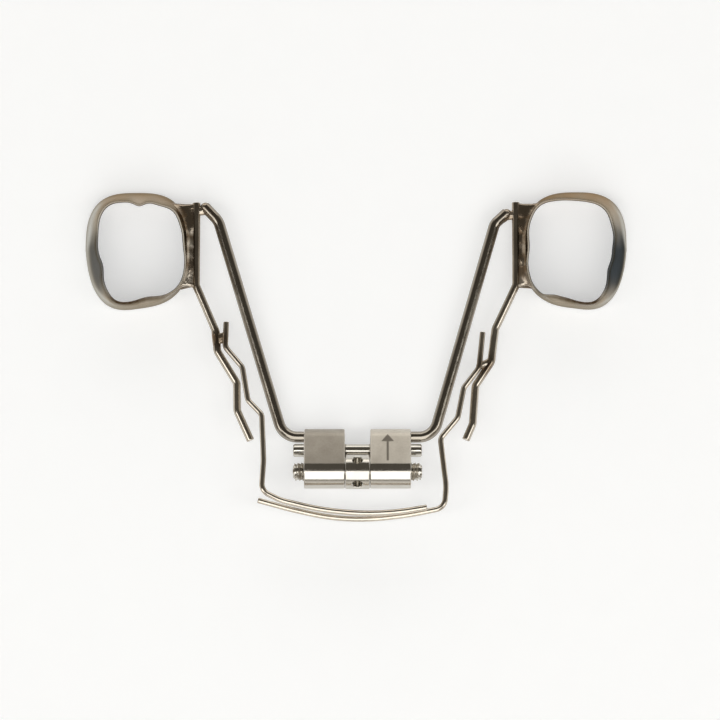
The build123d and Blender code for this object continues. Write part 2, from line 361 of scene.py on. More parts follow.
def makeHousing(name, side, plate):
    edge, rim = screw["edge"], screw["boreRim"]
    steps = [(edge * (1 - sin(radians(a))), edge * (1 - cos(radians(a)))) for a in range(0, 91, 15)]
    inner, outer = screw["start"], screw["start"] + screw["length"]
    stations = [(inner + dx, inset) for inset, dx in steps] + [(outer - dx, inset) for inset, dx in reversed(steps)]
    housing = skin(name, [[(side * x, y, z) for y, z in plateSection(inset)] for x, inset in stations])
    bores = [((0, 0), screw["thread"] + screw["boreGap"], screw["boreStart"]),
             (pinAt, screw["pin"] + screw["boreGap"], screw["boreStart"]),
             (armAt, screw["arm"] + screw["armGap"], outer - screw["socket"])]
    cutters = []
    for at, r, start in bores:  # plain bores, chamfered at the outer end
        mouth = [(start, r), (outer - rim / 2, r), (outer + rim / 2, r + rim), (outer + 1, r + rim)]
        cutters.append(turned("bore", [(side * x, r) for x, r in mouth], at, 64))
    cut(housing, cutters)
    paint(housing, barrelSteel, plate)
    up = Vector((0, sin(lean), cos(lean)))
    for face in housing.data.polygons:  # satin on the flat, round its back edge and on the two ends
        back = face.center.y / mm * cos(lean) - face.center.z / mm * sin(lean)
        sideways = abs(face.normal.x)
        onFlat = sideways < 0.3 and face.normal.dot(up) > 0.25 and back > screw["satinFrom"]
        face.material_index = 1 if onFlat or sideways > 0.95 else 0
    return housing


dress(makeHousing("leftHousing", -1, leftPlateShaded), "left_housing")
dress(makeHousing("rightHousing", 1, rightPlateLit), "right_housing")

arrow = {"middle": 3.2, "tip": 3.68, "headBase": 2.65, "shaftEnd": 0.2, "headHalf": 0.75, "tipHalf": 0.01,
         "shaftHalf": 0.17, "step": 0.02, "proud": 0.006, "sunk": -0.03, "softEdge": 0.1, "rows": 24}


def onPlate(x, along, lift):  # point on the plate, following it round the back edge
    r = screw["barrel"] + lift
    turn = max(along - screw["spacing"], 0) / screw["barrel"]
    back = min(along, screw["spacing"]) + r * sin(turn)
    return (x, *inScrew(back, r * cos(turn)))


def makeArrow():  # mark that shows which way the screw is turned
    a = arrow
    shares = [i / a["rows"] for i in range(a["rows"] + 1)]
    shaft, head = a["headBase"] - a["shaftEnd"] - a["step"], a["tip"] - a["headBase"]
    rows = [(a["shaftEnd"] + shaft * t, a["shaftHalf"]) for t in shares]
    rows += [(a["headBase"] + head * t, a["headHalf"] * (1 - t) + a["tipHalf"]) for t in shares]
    columns = [-1, -0.85, -0.65, -0.4, 0, 0.4, 0.65, 0.85, 1]
    rings, depth = [], []
    for along, half in rows:
        top = [onPlate(a["middle"] + half * c, along, a["proud"]) for c in columns]
        rings.append(top + [onPlate(a["middle"] + half * c, along, a["sunk"]) for c in reversed(columns)])
        if along >= a["headBase"]:
            ends = [max(along - a["headBase"], a["shaftHalf"] - abs(half * c)) for c in columns]
        else:
            ends = [along - a["shaftEnd"]] * len(columns)
        soft = [ramp(min(half * (1 - abs(c)), e), 0, a["softEdge"]) for c, e in zip(columns, ends)]
        depth += soft + soft[::-1]
    piece = skin("arrowMark", rings)
    mark(piece, "etched", depth)
    paint(piece, markSteel)
    smooth(piece, sharp=40)
    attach(piece, "right_half")


makeArrow()


def newTree(name, sockets):  # geometry tree with named inputs, and its input node
    tree = bpy.data.node_groups.new(name, "GeometryNodeTree")
    for label, kind in sockets.items():
        tree.interface.new_socket(label, in_out="INPUT", socket_type="NodeSocket" + kind)
    tree.interface.new_socket("Geometry", in_out="OUTPUT", socket_type="NodeSocketGeometry")
    return tree, addNode(tree, "NodeGroupInput").outputs


def endTree(tree, geometry, material):
    real = addNode(tree, "GeometryNodeRealizeInstances", {0: geometry})
    coloured = addNode(tree, "GeometryNodeSetMaterial", {"Geometry": real.outputs[0], "Material": material})
    addNode(tree, "NodeGroupOutput", {0: coloured.outputs[0]})


def grow(piece, tree, values):  # runs a tree on a piece and keeps the mesh
    growth = piece.modifiers.new(tree.name, "NODES")
    growth.node_group = tree
    for item in tree.interface.items_tree:
        if item.in_out == "INPUT" and item.name in values:
            growth[item.identifier] = values[item.name]
    bake(piece)


# foot and crest are shares of the pitch; endGap is bare root before the tip
spindleSize = {"root": 0.80, "depth": 0.19, "pitch": 0.4, "foot": 0.94, "crest": 0.14, "endGap": 0.1, "knob": 1.852,
               "knobHalf": 1.3, "edge": 0.12, "tip": 0.18, "keyHole": 0.5, "keyRim": 0.1, "keyReach": 2.4,
               "keyLean": 35.0}

# thread ridge: a helix with a tapering start and end, swept with a blunt section
threadTree, given = newTree("threadRidge", {
    "Geometry": "Geometry", "Length": "Float", "Pitch": "Float", "Root": "Float", "Depth": "Float",
    "Left Hand": "Bool", "Shift": "Vector", "Turn": "Rotation", "Material": "Material"})
turnsNeeded = addNode(threadTree, "ShaderNodeMath", {0: given["Length"], 1: given["Pitch"]}, operation="DIVIDE")
helix = addNode(threadTree, "GeometryNodeCurveSpiral", {
    "Resolution": 40, "Rotations": turnsNeeded.outputs[0], "Start Radius": given["Root"], "End Radius": given["Root"],
    "Height": given["Length"], "Reverse": given["Left Hand"]})
upright = addNode(threadTree, "GeometryNodeSetCurveNormal", {"Curve": helix.outputs[0]}, mode="Z_UP")
wideFoot = addNode(threadTree, "ShaderNodeMath", {0: given["Pitch"], 1: spindleSize["foot"]}, operation="MULTIPLY")
narrowTop = addNode(threadTree, "ShaderNodeMath", {0: given["Pitch"], 1: spindleSize["crest"]}, operation="MULTIPLY")
tall = addNode(threadTree, "ShaderNodeMath", {0: given["Depth"], 1: 2.0}, operation="MULTIPLY")  # half is in the root
section = addNode(threadTree, "GeometryNodeCurvePrimitiveQuadrilateral", {
    "Bottom Width": wideFoot.outputs[0], "Top Width": narrowTop.outputs[0], "Height": tall.outputs[0],
    "Offset": 0.0}, mode="TRAPEZOID")
share = addNode(threadTree, "GeometryNodeSplineParameter")
fromEnd = addNode(threadTree, "ShaderNodeMath", {0: share.outputs["Factor"], 1: 0.5}, operation="SUBTRACT")
offMiddle = addNode(threadTree, "ShaderNodeMath", {0: fromEnd.outputs[0]}, operation="ABSOLUTE")
fade = addNode(threadTree, "ShaderNodeMapRange", {  # a quarter as thick at both ends
    0: offMiddle.outputs[0], 1: 0.5, 2: 0.44, 3: 0.25, 4: 1.0})
ridge = addNode(threadTree, "GeometryNodeCurveToMesh", {
    "Curve": upright.outputs[0], "Profile Curve": section.outputs[0], "Scale": fade.outputs[0], "Fill Caps": True})
placed = addNode(threadTree, "GeometryNodeTransform", {
    "Geometry": ridge.outputs[0], "Translation": given["Shift"], "Rotation": given["Turn"]})
endTree(threadTree, placed.outputs[0], given["Material"])


def makeSpindle():
    s = spindleSize
    half, edge, tips, root, knobR = s["knobHalf"], s["edge"], screw["tips"], s["root"], s["knob"]
    corner = [(half - edge + edge * sin(radians(a)), knobR - edge + edge * cos(radians(a)))
              for a in range(0, 91, 15)]
    right = [(half * 0.2 * i, knobR) for i in range(0, 5)] + corner  # from the middle to the right tip
    right += [(half, root), (tips - s["tip"], root), (tips, root - s["tip"])]
    spindle = turned("threadedSpindle", [(-x, r) for x, r in reversed(right)] + right[1:], sides=128)
    deep, wide = knobR - s["keyRim"], s["keyHole"] + s["keyReach"] - knobR + s["keyRim"]
    bore = [(-s["keyReach"], wide), (-deep, s["keyHole"]), (deep, s["keyHole"]), (s["keyReach"], wide)]
    holes = []
    for tilt in (s["keyLean"], s["keyLean"] - 90):  # two key holes that cross, with flared mouths
        hole = turned("keyHole", bore, sides=64)
        way = Vector((0, sin(radians(tilt)), cos(radians(tilt))))
        hole.data.transform(Vector((1, 0, 0)).rotation_difference(way).to_matrix().to_4x4())
        holes.append(hole)
    cut(spindle, holes)
    paint(spindle, turnedSteel)
    ridges = []
    for side in (-1, 1):
        ridge = newObject("threadRidge", bpy.data.meshes.new("threadRidge"))
        grow(ridge, threadTree, {
            "Length": (tips - half - s["endGap"]) * mm, "Pitch": s["pitch"] * mm, "Root": root * mm,
            "Depth": s["depth"] * mm, "Left Hand": side < 0, "Shift": (side * half * mm, 0, 0),
            "Turn": (0, side * pi / 2, 0), "Material": turnedSteel})
        ridges.append(ridge)
    build = bmesh.new()
    build.from_mesh(spindle.data)
    for ridge in ridges:
        build.from_mesh(ridge.data)
        bpy.data.objects.remove(ridge)
    bmesh.ops.recalc_face_normals(build, faces=build.faces)
    build.to_mesh(spindle.data)
    build.free()
    return spindle


def makePin():
    r, tips, tip = screw["pin"], screw["tips"], screw["pinTip"]
    right = [(0, r), (tips - tip, r), (tips - tip * 0.3, r - tip * 0.4), (tips, r - tip)]  # rounded off at the tip
    pin = turned("guidePin", [(-x, r) for x, r in reversed(right)] + right[1:], pinAt, 64)
    paint(pin, pinSteel)
    return pin


dress(makeSpindle(), "spindle")
dress(makePin(), "guide_pin")
print("screw made")

# dents are pressed into the upper edge between dentLevels; hand is the small unevenness of the whole wall
bandSize = {"height": 4.4, "wall": 0.2, "halfWidth": 4.85, "halfLength": 5.6, "roundness": 2.9, "cheekFlare": 1.3,
            "backFlare": 1.4, "flareLevel": 1.3, "edgeCrimp": 0.15, "cheekTaper": 0.14, "frontSlant": 0.10,
            "scallop": 0.5, "scallopR": 7.0, "runOut": 0.06, "rim": 0.2, "bevelDrop": 0.025, "bevelIn": 0.68,
            "lip": 0.04, "dentLevels": (2.5, 4.2), "hand": 0.05, "handScale": (0.35, 0.35, 0.2), "points": 220}

# colours on both bands, painted shade, a painted pale reflection, a painted highlight and a painted shadow line among
# them: levels in mm above the lower edge, ways as shares of one from the band's middle;
# each row of spots is (places along X, y from the front edge, level, reach)
bandWearAndShade = {"uneven": 0.12, "patches": 0.6, "cheekWays": (0.0, 0.72), "greyFront": (-0.98, -0.6), "rimClear": 0.05,
            "rimSoft": 0.08, "inside": 0.4, "insideTop": 0.5, "insideLevels": (3.8, 4.3), "paleBack": (0.9, 0.6),
            "paleWidens": 0.8, "paleMiddle": 0.25, "paleEnds": (0.2, 0.7), "rimWarmth": 0.5, "wallWarmth": 2.0,
            # this row is a painted shadow line just under the front edge
            "shadowLineFront": ((-3.2, -2.5, -1.8, -1.1, -0.4, 0.3, 1.0, 1.7, 2.4), 0.0, 4.35, 0.95),
            # the next row is a painted highlight low on the front wall
            "highlightFront": ((-4, -2.6, -1.2, 0.2, 1.6, 3.0, 4.4), -0.3, 2.6, 1.7), "bright": 0.7,
            "strawBack": ((-4.2, -2.4, 0, 2.4, 4.2), 12.3, 2.4, 2.4)}

# dents are (x, y, spread, depth) in mm: where the upper edge was pressed in, or out where depth is negative
leftBand = {
    "side": -1, "centre": (-23.05, 23.6), "grey": 0.8, "greyFrom": (1.7, 3.0), "greyBack": (0.66, 0.03),
    "pale": 0.85, "paleBelow": (2.6, 1.7), "straw": 0.45, "dents": [
        (-23.35, 29.1, 0.8, 0.47), (-21.0, 28.7, 1.3, 0.29), (-18.9, 26.8, 1.5, 0.28), (-18.5, 24.6, 1.4, 0.2),
        (-18.7, 20.0, 1.4, -0.12), (-22.3, 18.5, 1.5, 0.33), (-25.8, 18.2, 1.2, -0.2), (-27.2, 21.8, 1.3, 0.39),
        (-27.8, 25.8, 1.6, 0.22), (-26.4, 28.7, 1.2, -0.18)]}
rightBand = {
    "side": 1, "centre": (22.75, 23.65), "grey": 1.0, "greyFrom": (1.5, 2.4), "greyBack": (0.75, 0.1),
    "pale": 0.85, "paleBelow": (2.2, 1.5), "straw": 0.6, "dents": [
        (19.6, 28.8, 1.4, -0.22), (22.2, 29.3, 1.5, -0.11), (27.0, 26.7, 1.6, 0.45), (27.3, 24.0, 1.4, 0.23),
        (26.8, 21.4, 1.4, 0.47), (25.2, 18.1, 1.3, -0.23), (22.0, 18.5, 1.1, 0.22), (19.2, 19.2, 1.3, -0.29),
        (18.3, 24.2, 1.6, 0.24), (20.7, 18.4, 0.9, 0.27)]}


def bandPoint(band, angle, level, inset):  # rounded square, wider low down on the cheek side and at the back
    b = bandSize
    if level < b["flareLevel"]:
        flare = 1 - b["edgeCrimp"] * (1 - level / b["flareLevel"])
    else:
        flare = 0.5 + 0.5 * cos(pi * (level - b["flareLevel"]) / (b["height"] - b["flareLevel"]))
    c, s = cos(angle), sin(angle)
    across = copysign(abs(c) ** (2 / b["roundness"]), c)
    along = copysign(abs(s) ** (2 / b["roundness"]), s)
    x = (b["halfWidth"] + b["cheekFlare"] * flare / 2 - inset) * across
    x *= 1 + b["cheekTaper"] * along * (1 if along < 0 else 1 - flare) * (across > 0)
    y = (b["halfLength"] + b["backFlare"] * flare / 2 - inset) * along * (1 + b["frontSlant"] * across * (along < 0))
    x = band["centre"][0] + band["side"] * (x + b["cheekFlare"] * flare / 2)
    y = band["centre"][1] + y + b["backFlare"] * flare / 2
    return x, y, floorZ + level


def evenAngles(band, count, steps=4000):  # angles that space the points evenly round the band
    fine = [2 * pi * i / steps for i in range(steps + 1)]
    points = [Vector(bandPoint(band, a, bandSize["height"] / 2, 0)) for a in fine]
    walk = [0.0]
    for a, b in zip(points, points[1:]):
        walk.append(walk[-1] + (b - a).length)
    angles, k = [], 0
    for i in range(count):
        while walk[k + 1] < walk[-1] * i / count:
            k += 1
        angles.append(fine[k])
    return angles


def bandSection(rows=26):  # (level, inset) up the outside, over the edge and down the inside
    b = bandSize
    h, w, rim, lip = b["height"], b["wall"], b["rim"], b["lip"]
    section = [(w * 0.5 + (h - rim - w * 0.55) * i / rows, 0.0) for i in range(rows + 1)]
    section += [(h - rim * (1 - t) - b["bevelDrop"] * t, w * b["bevelIn"] * t)
                for t in (0.03, 0.3, 0.6, 0.9, 1.0)]  # outer edge polished to a bevel
    section += [(h - 0.006, w * 0.76), (h, w * 0.85), (h - 0.01, w * 0.95)]  # rounded lip
    section += [(h - lip - (h - lip - w * 0.5) * i / rows, w) for i in range(rows + 1)]
    section += [(w / 2 - w / 2 * sin(radians(a)), w / 2 + w / 2 * cos(radians(a)))
                for a in range(30, 151, 30)]  # rounded lower edge
    return section


def lowerEdge(band, angle):  # how far the lower edge is arched up here, at the front and at the back
    b = bandSize
    lowY = bandPoint(band, angle, 0, 0)[1]
    edge = 0.0
    for archY in (band["centre"][1] - b["halfLength"], band["centre"][1] + b["halfLength"] + b["backFlare"]):
        off = abs(lowY - archY)
        if off < b["scallopR"]:
            rise = b["scallop"] - b["scallopR"] + sqrt(b["scallopR"] ** 2 - off ** 2)
            edge = max(edge, b["runOut"] * log(1 + exp(rise / b["runOut"])))  # runs out softly
    return edge


def wallTones(band, x, y, z, level, inset):  # how much painted shade (grey) and painted pale reflection (pale) a point of the wall gets
    b, wearAndShade = bandSize, bandWearAndShade
    if inset >= b["wall"] * 0.7:  # over the edge and inside the ring: painted shade, darker near the top
        return wearAndShade["inside"] + wearAndShade["insideTop"] * ramp(level, *wearAndShade["insideLevels"]), 0.0
    away = Vector((x - band["centre"][0], y - band["centre"][1]))
    cheek, back = band["side"] * away.x / away.length, away.y / away.length
    uneven = wearAndShade["uneven"] * noise.noise(Vector([c * wearAndShade["patches"] for c in (x, y, z)]))
    outward = ramp(cheek + uneven, *wearAndShade["cheekWays"])
    rimStart = b["height"] - b["rim"]
    # painted shade on the cheek side, fading towards the front and the back and lower down, a little less at the edge
    grey = band["grey"] * outward * ramp(back + uneven, *band["greyBack"]) * ramp(back + uneven, *wearAndShade["greyFront"])
    grey *= ramp(level, *band["greyFrom"])
    grey *= 1 - wearAndShade["rimClear"] * ramp(level, rimStart - wearAndShade["rimSoft"], rimStart)
    widening = wearAndShade["paleWidens"] * ramp(abs(back + wearAndShade["paleMiddle"]), *wearAndShade["paleEnds"])  # broadest at both ends
    # painted pale reflection low on the cheek side, away from the back
    pale = band["pale"] * outward * ramp(back + uneven, *wearAndShade["paleBack"])
    return grey, pale * ramp(level - widening, *band["paleBelow"])


def spotRow(band, row, strength):  # a row of colour spots across the band
    places, y, level, reach = row
    midX, frontY = band["centre"][0], band["centre"][1] - bandSize["halfLength"]
    return [((midX + dx, frontY + y, floorZ + level), reach, strength) for dx in places]


def makeBand(name, band, joints):
    b, wearAndShade = bandSize, bandWearAndShade
    rings, tones = [], []
    for angle in evenAngles(band, b["points"]):
        ring = []
        edge = lowerEdge(band, angle)
        for level, inset in bandSection():
            level = edge + level * (1 - edge / b["height"])
            x, y, z = bandPoint(band, angle, level, inset)
            away = Vector((x - band["centre"][0], y - band["centre"][1]))
            push = sum(depth * exp(-((x - px) ** 2 + (y - py) ** 2) / spread ** 2)
                       for px, py, spread, depth in band["dents"])
            hand = noise.noise(Vector([c * scale for c, scale in zip((x, y, z), b["handScale"])]))
            push = push * ramp(level, *b["dentLevels"]) + b["hand"] * (0.5 + 0.5 * hand)
            away = away * (1 - push / away.length)
            ring.append((band["centre"][0] + away.x, band["centre"][1] + away.y, z))
            tones.append(wallTones(band, x, y, z, level, inset))
        rings.append(ring)
    piece = skin(name, rings, loop=True)
    # painted shade on the cheek-side walls and inside the ring
    mark(piece, "paintedShade", [grey for grey, pale in tones])
    # a painted pale reflection low on the cheek-side walls
    mark(piece, "paintedPale", [pale for grey, pale in tones])
    # a painted highlight low on the front wall
    mark(piece, "paintedHighlight", spotted(piece, spotRow(band, wearAndShade["highlightFront"], wearAndShade["bright"])))
    mark(piece, "strawTint", spotted(piece, spotRow(band, wearAndShade["strawBack"], band["straw"])))
    rimZ = (floorZ + b["height"] - b["rim"]) * mm
    warm = [w * (wearAndShade["rimWarmth"] if v.co.z > rimZ else wearAndShade["wallWarmth"])
            for w, v in zip(spotted(piece, joints), piece.data.vertices)]  # the edge was polished last
    # a painted shadow line under the front edge, joined with the real heat tint by the solder
    shadowLine = spotted(piece, spotRow(band, wearAndShade["shadowLineFront"], 1.0))
    mark(piece, "scorchedAndShadowLine", [max(pair) for pair in zip(warm, shadowLine)])
    paint(piece, bandSteel)
    return piece


# wires: straight legs joined by round bends, as (x, y, z, bend radius) in mm
wireSize = {"archLift": 0.4, "fromBand": 5.78, "sides": 40, "bendSteps": 14, "spacing": 0.16, "endRound": 0.07}
supportZ = floorZ + bandSize["height"] / 2
archZ = supportZ + wireSize["archLift"]
armY, armZ = armAt
socketX = screw["start"] + screw["length"] - screw["socket"]
leftStripX = leftBand["centre"][0] + wireSize["fromBand"]
rightStripX = rightBand["centre"][0] - wireSize["fromBand"]


def flatRun(plan):  # all at the height of the supports
    return [(x, y, supportZ, r) for x, y, r in plan]


def rising(plan, runZ, corner=6):  # level at first, an even climb to the corner, then level
    climbs = [min(max((i - 1) / (corner - 1), 0), 1) for i in range(len(plan))]
    return [(x, y, archZ + climb * (runZ - archZ), r) for climb, (x, y, r) in zip(climbs, plan)]


wires = {
    "leftArm": {"node": "left_arm", "steel": armShadedSteel, "d": 1.2, "route": [
        (-socketX, armY, armZ, 0), (-7.9, armY, armZ, 2.0), (leftStripX + 2.37, 27.3, supportZ, 2.2),
        (leftStripX + 0.87, 28.9, supportZ, 0)]},
    "rightArm": {"node": "right_arm", "steel": armShadedSteel, "d": 1.2, "route": [
        (socketX, armY, armZ, 0), (8.05, armY, armZ, 2.0), (rightStripX - 2.27, 27.0, supportZ, 1.4),
        (rightStripX - 0.97, 28.2, supportZ, 0)]},
    "leftSupport": {"node": "left_support_wire", "steel": wireSteel, "d": 0.86, "route": flatRun([
        (leftStripX, 29.3, 0), (leftStripX, 20.3, 1), (-15.1, 15.25, 1), (-14.95, 13.15, 1), (-12.85, 9.7, 1),
        (-12.8, 6.7, 1), (-11.35, 3.5, 0)])},
    "rightSupport": {"node": "right_support_wire", "steel": wireSteel, "d": 0.86, "route": flatRun([
        (rightStripX, 29.35, 0), (rightStripX, 20.35, 1), (14.7, 15.55, 1), (14.25, 12.0, 1), (12.55, 9.4, 1),
        (12.25, 5.3, 1), (11.5, 3.55, 0)])},
    "leftArch": {"node": "left_arch_wire", "steel": archLitSteel, "d": 0.612, "route": rising([
        (-14.0, 16.25, 0), (-14.1, 13.55, 1), (-12.25, 11.3, 1), (-11.65, 7.7, 1), (-10.15, 6.1, 1),
        (-9.95, 1.15, 6), (-10.15, -2.15, 1.2), (-8.1, -3.16, 6), (-4.0, -4.16, 28), (0.0, -4.55, 28),
        (3.8, -4.5, 28), (7.35, -3.9, 0)], 0.8)},
    "rightArch": {"node": "right_arch_wire", "steel": archLitSteel, "d": 0.612, "route": rising([
        (13.35, 15.15, 0), (12.95, 11.3, 1), (11.3, 9.1, 1), (10.65, 5.85, 1), (8.8, 3.6, 1),
        (9.4, -1.55, 6), (9.2, -3.85, 1.2), (5.5, -4.6, 28), (1.3, -5.1, 28), (-2.9, -4.95, 28),
        (-7.1, -4.0, 28), (-10.55, -3.05, 0)], 0.0)},
}

# bent wire: corners are rounded by their own radius, then a circle is swept along
wireTree, given = newTree("bentWire", {
    "Geometry": "Geometry", "Diameter": "Float", "Sides": "Int", "Bend Steps": "Int", "Spacing": "Float",
    "Material": "Material"})
line = addNode(wireTree, "GeometryNodeMeshToCurve", {"Mesh": given["Geometry"]})
ownRadius = addNode(wireTree, "GeometryNodeInputNamedAttribute", {"Name": "bendRadius"}, data_type="FLOAT")
bent = addNode(wireTree, "GeometryNodeFilletCurve", {
    "Curve": line.outputs[0], "Radius": ownRadius.outputs[0], "Limit Radius": True, "Count": given["Bend Steps"]},
    mode="POLY")
spaced = addNode(wireTree, "GeometryNodeResampleCurve", {"Curve": bent.outputs[0], "Length": given["Spacing"]},
                 mode="LENGTH")
runLength = addNode(wireTree, "GeometryNodeSplineParameter")
alongKept = addNode(wireTree, "GeometryNodeStoreNamedAttribute", {
    "Geometry": spaced.outputs[0], "Name": "alongWire", "Value": runLength.outputs["Length"]},
    data_type="FLOAT", domain="POINT")
halfD = addNode(wireTree, "ShaderNodeMath", {0: given["Diameter"], 1: 0.5}, operation="MULTIPLY")
circle = addNode(wireTree, "GeometryNodeCurvePrimitiveCircle", {
    "Resolution": given["Sides"], "Radius": halfD.outputs[0]})
roundShare = addNode(wireTree, "GeometryNodeSplineParameter")
aroundKept = addNode(wireTree, "GeometryNodeStoreNamedAttribute", {
    "Geometry": circle.outputs[0], "Name": "aroundWire", "Value": roundShare.outputs["Factor"]},
    data_type="FLOAT", domain="POINT")
swept = addNode(wireTree, "GeometryNodeCurveToMesh", {
    "Curve": alongKept.outputs[0], "Profile Curve": aroundKept.outputs[0], "Fill Caps": True})
endTree(wireTree, swept.outputs[0], given["Material"])


def flameMarks(stripX, wireJoint):  # where a flame was held, as (place, reach, strength)
    alongStrip = [((stripX, y, supportZ), reach, strength)
                  for y, reach, strength in ((29.3, 2.2, 0.5), (25.0, 2.6, 0.4), (21.0, 2.2, 0.45))]
    return alongStrip + [(wireJoint, 1.3, 1.0)]


joints = {"left": flameMarks(leftStripX, (-14.6, 14.4, -0.8)), "right": flameMarks(rightStripX, (13.6, 11.65, -0.8))}


def makeWire(name, wire):
    route = wire["route"]
    mesh = bpy.data.meshes.new(name)
    mesh.from_pydata([Vector(p[:3]) * mm for p in route], [(i, i + 1) for i in range(len(route) - 1)], [])
    mesh.attributes.new("bendRadius", "FLOAT", "POINT").data.foreach_set("value", [p[3] * mm for p in route])
    piece = newObject(name, mesh)
    grow(piece, wireTree, {
        "Diameter": wire["d"] * mm, "Sides": wireSize["sides"], "Bend Steps": wireSize["bendSteps"],
        "Spacing": wireSize["spacing"] * mm, "Material": wire["steel"]})
    build = bmesh.new()
    build.from_mesh(piece.data)
    bmesh.ops.recalc_face_normals(build, faces=build.faces)
    rims = [e for e in build.edges if e.is_manifold and e.calc_face_angle() > 1]  # round both cut ends
    bmesh.ops.bevel(build, geom=rims, offset=wireSize["endRound"] * mm, segments=3, affect="EDGES", profile=0.5)
    build.to_mesh(piece.data)
    build.free()
    mark(piece, "scorchedAndShadowLine", spotted(piece, joints["left" if name.startswith("left") else "right"]))
    return piece


for wireName, wire in wires.items():
    dress(makeWire(wireName, wire), wire["node"])
print("wires made")

dress(makeBand("leftBand", leftBand, joints["left"]), "left_molar_band", sharp=50)
dress(makeBand("rightBand", rightBand, joints["right"]), "right_molar_band", sharp=50)
print("bands made")

# fillet between wire and wall: heights above the wire's middle, dips of the two ends, and how deep it sits in the wall
stripSize = {"high": 0.72, "atWire": 0.37, "sag": 0.10, "climb": 2.2, "frontDip": 0.45, "backDip": 0.4, "runOn": 0.6,
             "ripple": 0.12, "rippleScale": 0.8, "endRound": 0.05, "thinnest": 0.03, "inWall": 0.08}


def bandWall(band, y, level):  # X of the wall that faces the screw, at this Y and height
    low, high = pi / 2, 3 * pi / 2
    for _ in range(30):  # halves the angle's range each time
        half = (low + high) / 2
        if bandPoint(band, half, level, 0)[1] > y:
            low = half
        else:
            high = half
    return bandPoint(band, low, level, 0)[0]


# hollow fillet of solder between the band and the straight part of its support wire
def makeStrip(name, band, wire, paintedGlints, rows=90, columns=16):
    s = stripSize
    backPoint, bend, onward = wire["route"][:3]
    y0, y1 = bend[1] - s["runOn"], backPoint[1]
    side, middle = band["side"], bandSize["height"] / 2
    rings = []
    for k in range(rows + 1):
        share = k / rows
        nearEnd = max(0.0, abs(share - 0.5) * 2 - (1 - s["endRound"])) / s["endRound"]
        thick = sqrt(max(0.0, 1 - nearEnd ** 2)) * (1 - s["thinnest"]) + s["thinnest"]
        upper, lower = [], []
        for t in [i / columns for i in range(columns + 1)]:  # from the wire to the wall
            dip = s["frontDip"] * 4 * t * (1 - t)
            y = y0 + dip + share * (y1 - y0 - (1 + s["backDip"]) * dip)
            wireX = bend[0] + max(0.0, bend[1] - y) / (bend[1] - onward[1]) * (onward[0] - bend[0])
            wallUp, wallDown = [bandWall(band, y, middle + way * s["high"] * thick) + side * s["inWall"]
                                for way in (1, -1)]
            upX, downX = wireX + t * (wallUp - wireX), wireX + t * (wallDown - wireX)
            ripple = noise.noise(Vector((upX * s["rippleScale"], y * s["rippleScale"], 3.0 + side)))
            bow = sin(pi * t)
            high = s["atWire"] + (s["high"] - s["atWire"]) * t ** s["climb"] + (ripple * s["ripple"] - s["sag"]) * bow
            upper.append((upX, y, supportZ + high * thick))
            lower.append((downX, y, supportZ - high * thick))
        rings.append(upper + lower[::-1])
    piece = skin(name, rings)
    mark(piece, "paintedGlints", spotted(piece, paintedGlints))
    paint(piece, solderMetal)
    return piece


# painted highlights on the solder, as (place, reach, strength)
stripTop = supportZ + 0.5
leftGlints = [((-17.9, 24.7, stripTop), 0.55, 1.0), ((-17.7, 26.0, stripTop), 0.35, 0.8),
              ((-18.0, 23.5, stripTop), 0.4, 0.9), ((-17.8, 21.0, stripTop), 0.9, 0.7),
              ((-18.2, 20.1, stripTop), 0.6, 0.9)]
rightGlints = [((17.6, 20.4, stripTop), 0.7, 0.6), ((17.9, 19.9, stripTop), 0.5, 0.7),
               ((17.7, 24.5, stripTop), 0.4, 0.35)]
leftStrip = makeStrip("leftStrip", leftBand, wires["leftSupport"], leftGlints)
rightStrip = makeStrip("rightStrip", rightBand, wires["rightSupport"], rightGlints)
dress(leftStrip, "left_band_solder", sharp=60)
dress(rightStrip, "right_band_solder", sharp=60)

# skin is the solder's thickness on a wire, thinEdge how far its ends sink into the wire
dropSize = {"skin": 0.035, "thinEdge": 0.03, "swell": 0.7, "beads": 12, "bridgeBeads": 6, "taper": 0.12,
            "voxel": 0.045, "smoothing": 14}


# solder that wets two wires and bridges them: beads run together, then smoothed to a fillet
def makeDrop(name, drop):
    d = dropSize
    beads = []
    for start, end, r in drop["wets"]:  # thick in the middle, thinning out along each wire
        for i in range(d["beads"] + 1):
            share = i / d["beads"]
            swell = d["skin"] * sin(pi * share) ** d["swell"] - d["thinEdge"]
            beads.append((Vector(start).lerp(Vector(end), share), r + swell))
    first, second = [Vector(start).lerp(Vector(end), 0.5) for start, end, r in drop["wets"]]
    along = (Vector(drop["wets"][0][1]) - Vector(drop["wets"][0][0])).normalized()
    for i in range(d["bridgeBeads"] + 1):
        for j in (-1, -0.5, 0, 0.5, 1):
            beads.append((first.lerp(second, i / d["bridgeBeads"]) + along * j * drop["reach"],
                          drop["bridge"] * (1 - d["taper"] * abs(j))))
    build = bmesh.new()
    for place, r in beads:
        bmesh.ops.create_icosphere(build, subdivisions=3, radius=r, matrix=Matrix.Translation(place))
    mesh = bpy.data.meshes.new(name)
    build.to_mesh(mesh)
    build.free()
    piece = newObject(name, mesh)
    merge = piece.modifiers.new("merge", "REMESH")  # in mm here: the voxel size has a floor
    merge.mode = "VOXEL"
    merge.voxel_size = d["voxel"]
    flow = piece.modifiers.new("flow", "SMOOTH")
    flow.factor, flow.iterations = 0.5, d["smoothing"]
    bake(piece)
    piece.data.transform(Matrix.Scale(mm, 4))
    # painted highlight spots on the drop
    mark(piece, "paintedGlints", spotted(piece, drop["paintedGlints"]))
    paint(piece, solderMetal)
    return piece


